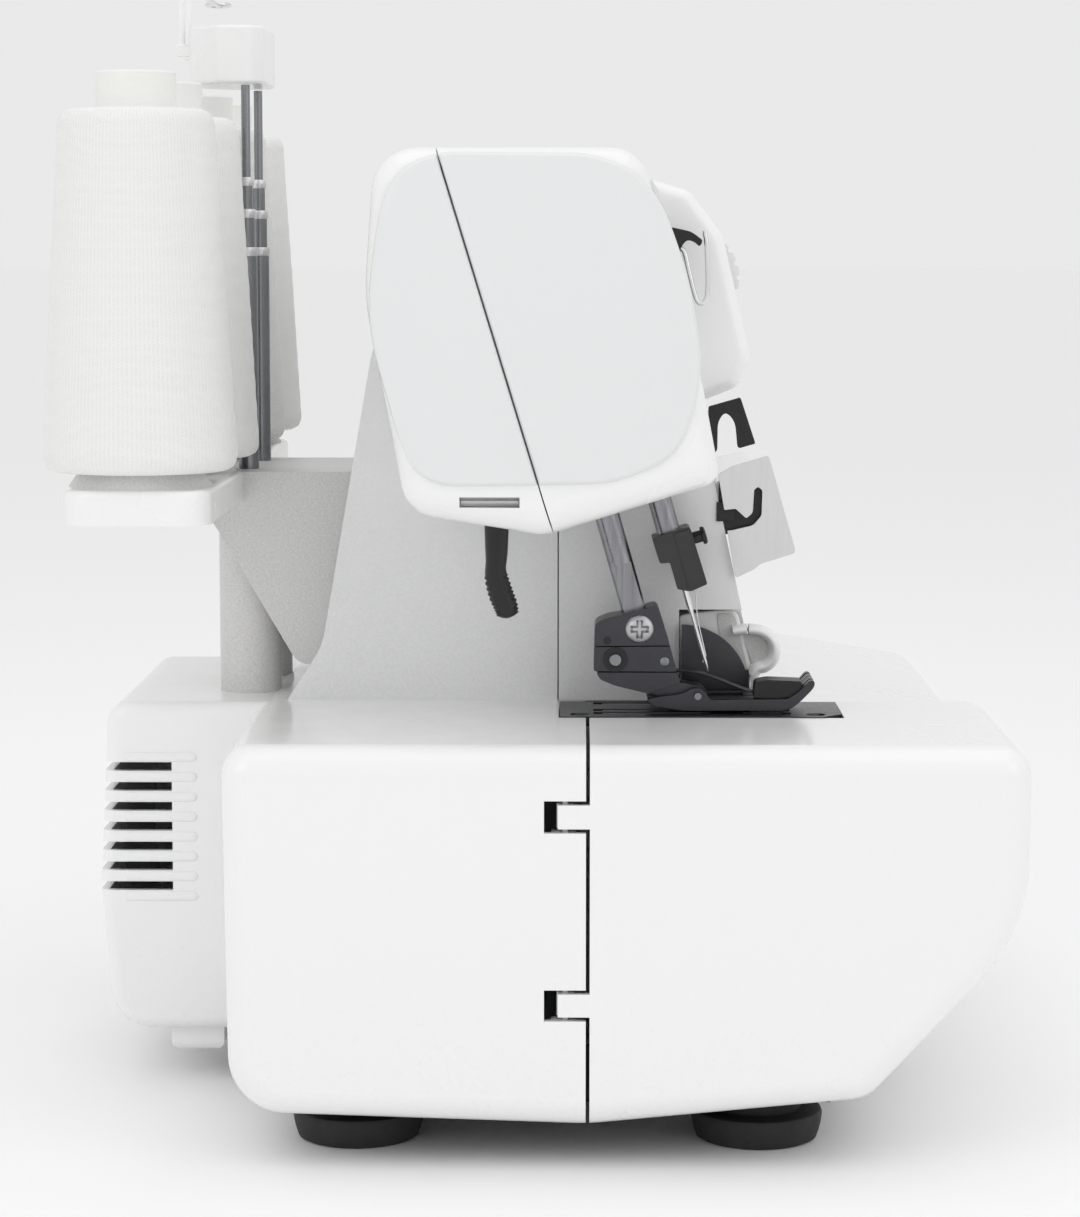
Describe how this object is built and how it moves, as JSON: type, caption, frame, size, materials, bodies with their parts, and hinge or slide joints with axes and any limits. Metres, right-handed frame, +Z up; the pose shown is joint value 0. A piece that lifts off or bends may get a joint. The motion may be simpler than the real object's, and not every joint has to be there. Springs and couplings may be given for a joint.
{
  "type": "serger overlock machine",
  "caption": "Home serger overlock machine with a leaning head, opening covers, knives and loopers, and a rear stand of thread cones under a telescopic guide pole.",
  "frame": {"origin": "on the table, under the middle of the machine's bounding box", "axes": "+X to the operator's right, -Y towards the operator, +Z up"},
  "size_m": [0.33, 0.2868, 0.3481],
  "materials": {
    "case_white": "glossy moulded plastic",
    "stand_grey": "satin moulded plastic",
    "pan_black": "textured moulded plastic",
    "dial_grey": "ribbed moulded plastic",
    "foot_rubber": "matte",
    "belt_rubber": "ribbed",
    "cast_alloy": "cast, machined bores",
    "gunmetal": "dark satin plating",
    "bright_steel": "polished",
    "plain_steel": "ground",
    "bush_brass": "sintered",
    "motor_paint": "painted can",
    "thread_wound": "cross-wound polyester thread on a paper tube"
  },
  "bodies": {
    "machine": {"base_rear_cover": "case_white", "arm_rear_cover": "case_white", "arm_front_cover": "case_white", "face_cover": "case_white", "tension_housing": "case_white", "motor_cover": "case_white", "finger_guard": "case_white", "stand_shelf": "case_white", "thread_guide_plate": "case_white", "stand_bracket": "stand_grey", "spool_discs": "stand_grey", "spool_pins": "stand_grey", "base_pan": "pan_black", "power_inlet": "pan_black", "rubber_feet": "foot_rubber", "drive_belt": "belt_rubber", "machine_frame": "cast_alloy", "needle_plate": "gunmetal", "pole_base": "bright_steel", "chrome_thread_guide": "bright_steel", "cloth_cover_pins": "plain_steel", "tension_discs": "plain_steel", "lower_knife": "plain_steel", "thread_cutter": "plain_steel", "shaft_bearings": "bush_brass", "bar_bushes": "bush_brass", "drive_motor": "motor_paint"},
    "drive_shaft": {"main_shaft": "plain_steel", "handwheel": "case_white"},
    "motor_rotor": {"motor_shaft": "plain_steel"},
    "needle_bar": {"needle_bar": "bright_steel", "needle_clamp": "gunmetal", "needles": "bright_steel"},
    "presser_bar": {"presser_bar": "bright_steel", "foot_ankle": "gunmetal"},
    "presser_foot": {"presser_foot": "gunmetal"},
    "presser_lifter": {"presser_lifter": "pan_black"},
    "cloth_plate_cover": {"cloth_plate_cover": "case_white"},
    "cover_hinge_bar": {"cover_hinge_bar": "plain_steel"},
    "looper_cover": {"looper_cover": "case_white"},
    "stitch_length_dial": {"stitch_length_dial": "case_white"},
    "differential_feed_lever": {"differential_feed_lever": "case_white"},
    "power_switch": {"power_switch": "pan_black"},
    "pole_second": {"pole_second": "bright_steel"},
    "pole_third": {"pole_third": "bright_steel"},
    "pole_top": {"pole_top": "bright_steel", "guide_head": "case_white"},
    "upper_looper": {"upper_looper": "bright_steel"},
    "lower_looper": {"lower_looper": "bright_steel"},
    "upper_knife": {"upper_knife": "gunmetal"},
    "feed_dogs": {"feed_dogs": "plain_steel"},
    "take_up_lever": {"take_up_lever": "bright_steel"},
    "tension_dial_left_needle": {"tension_dial_left_needle": "dial_grey"},
    "tension_dial_right_needle": {"tension_dial_right_needle": "dial_grey"},
    "tension_dial_upper_looper": {"tension_dial_upper_looper": "dial_grey"},
    "tension_dial_lower_looper": {"tension_dial_lower_looper": "dial_grey"},
    "thread_cone_1": {"thread_cone_1": "thread_wound"},
    "thread_cone_2": {"thread_cone_2": "thread_wound"},
    "thread_cone_3": {"thread_cone_3": "thread_wound"},
    "thread_cone_4": {"thread_cone_4": "thread_wound"}
  },
  "joints": [
    {"name": "handwheel_turn", "type": "hinge", "parent": "machine", "child": "drive_shaft", "pos_m": [0.13, 0.012, 0.086], "axis": [1, 0, 0], "continuous": true},
    {"name": "motor_turn", "type": "hinge", "parent": "machine", "child": "motor_rotor", "pos_m": [0.09, 0.076, 0.062], "axis": [1, 0, 0], "continuous": true},
    {"name": "needle_bar_stroke", "type": "slide", "parent": "machine", "child": "needle_bar", "axis": [0, 0.2756, 0.9613], "range_m": [-0.024, 0.002]},
    {"name": "lifter_raise", "type": "hinge", "parent": "machine", "child": "presser_lifter", "pos_m": [-0.11, 0.0115, 0.19], "axis": [1, 0, 0], "range_deg": [0, 50.5]},
    {"name": "presser_bar_lift", "type": "slide", "parent": "machine", "child": "presser_bar", "axis": [0, 0.2756, 0.9613], "range_m": [0, 0.006]},
    {"name": "foot_tilt", "type": "hinge", "parent": "presser_bar", "child": "presser_foot", "pos_m": [-0.09, -0.0486, 0.1278], "axis": [1, 0, 0], "range_deg": [-6, 0.5]},
    {"name": "cloth_cover_swing", "type": "hinge", "parent": "machine", "child": "cloth_plate_cover", "pos_m": [-0.161, -0.009, 0.075], "axis": [0, 0, 1], "range_deg": [-85, 0]},
    {"name": "looper_cover_slide", "type": "slide", "parent": "machine", "child": "cover_hinge_bar", "axis": [1, 0, 0], "range_m": [0, 0.008]},
    {"name": "looper_cover_tip", "type": "hinge", "parent": "cover_hinge_bar", "child": "looper_cover", "pos_m": [0.03, -0.094, 0.0275], "axis": [1, 0, 0], "range_deg": [0, 60]},
    {"name": "stitch_length_turn", "type": "hinge", "parent": "machine", "child": "stitch_length_dial", "pos_m": [0.152, 0.066, 0.096], "axis": [1, 0, 0], "range_deg": [0, 300]},
    {"name": "differential_set", "type": "hinge", "parent": "machine", "child": "differential_feed_lever", "pos_m": [0.149, 0.066, 0.052], "axis": [1, 0, 0], "range_deg": [-20, 20]},
    {"name": "switch_rock", "type": "hinge", "parent": "machine", "child": "power_switch", "pos_m": [0.1435, 0.037, 0.034], "axis": [0, 1, 0], "range_deg": [-8, 0]},
    {"name": "pole_second_raise", "type": "slide", "parent": "machine", "child": "pole_second", "axis": [0, 0, 1], "range_m": [0, 0.08]},
    {"name": "pole_third_raise", "type": "slide", "parent": "pole_second", "child": "pole_third", "axis": [0, 0, 1], "range_m": [0, 0.08]},
    {"name": "pole_top_raise", "type": "slide", "parent": "pole_third", "child": "pole_top", "axis": [0, 0, 1], "range_m": [0, 0.08]},
    {"name": "upper_looper_swing", "type": "hinge", "parent": "machine", "child": "upper_looper", "pos_m": [-0.005, -0.05, 0.06], "axis": [0, 1, 0], "range_deg": [-8, 8]},
    {"name": "lower_looper_swing", "type": "hinge", "parent": "machine", "child": "lower_looper", "pos_m": [-0.04, -0.046, 0.045], "axis": [0, 1, 0], "range_deg": [-8, 8]},
    {"name": "upper_knife_stroke", "type": "slide", "parent": "machine", "child": "upper_knife", "axis": [0, 0, 1], "range_m": [0, 0.007]},
    {"name": "feed_stroke", "type": "slide", "parent": "machine", "child": "feed_dogs", "axis": [0, 1, 0], "range_m": [-0.002, 0.002]},
    {"name": "take_up_swing", "type": "hinge", "parent": "machine", "child": "take_up_lever", "pos_m": [-0.072, -0.013, 0.262], "axis": [1, 0, 0], "range_deg": [-8, 8]},
    {"name": "tension_left_needle_turn", "type": "hinge", "parent": "machine", "child": "tension_dial_left_needle", "pos_m": [-0.038, -0.0485, 0.2527], "axis": [1, 0, 0], "range_deg": [0, 300]},
    {"name": "tension_right_needle_turn", "type": "hinge", "parent": "machine", "child": "tension_dial_right_needle", "pos_m": [-0.002, -0.0485, 0.2527], "axis": [1, 0, 0], "range_deg": [0, 300]},
    {"name": "tension_upper_looper_turn", "type": "hinge", "parent": "machine", "child": "tension_dial_upper_looper", "pos_m": [0.034, -0.0485, 0.2527], "axis": [1, 0, 0], "range_deg": [0, 300]},
    {"name": "tension_lower_looper_turn", "type": "hinge", "parent": "machine", "child": "tension_dial_lower_looper", "pos_m": [0.07, -0.0485, 0.2527], "axis": [1, 0, 0], "range_deg": [0, 300]},
    {"name": "cone_1_turn", "type": "hinge", "parent": "machine", "child": "thread_cone_1", "pos_m": [-0.124, 0.115, 0.25], "axis": [0, 0, 1], "continuous": true},
    {"name": "cone_2_turn", "type": "hinge", "parent": "machine", "child": "thread_cone_2", "pos_m": [-0.059, 0.115, 0.25], "axis": [0, 0, 1], "continuous": true},
    {"name": "cone_3_turn", "type": "hinge", "parent": "machine", "child": "thread_cone_3", "pos_m": [0.029, 0.115, 0.25], "axis": [0, 0, 1], "continuous": true},
    {"name": "cone_4_turn", "type": "hinge", "parent": "machine", "child": "thread_cone_4", "pos_m": [0.094, 0.115, 0.25], "axis": [0, 0, 1], "continuous": true}
  ],
  "couplings": [
    {"joint": "motor_turn", "follows": "handwheel_turn", "ratio": 4.6154},
    {"joint": "lifter_raise", "follows": "presser_bar_lift", "rad_per_m": 145.44}
  ]
}
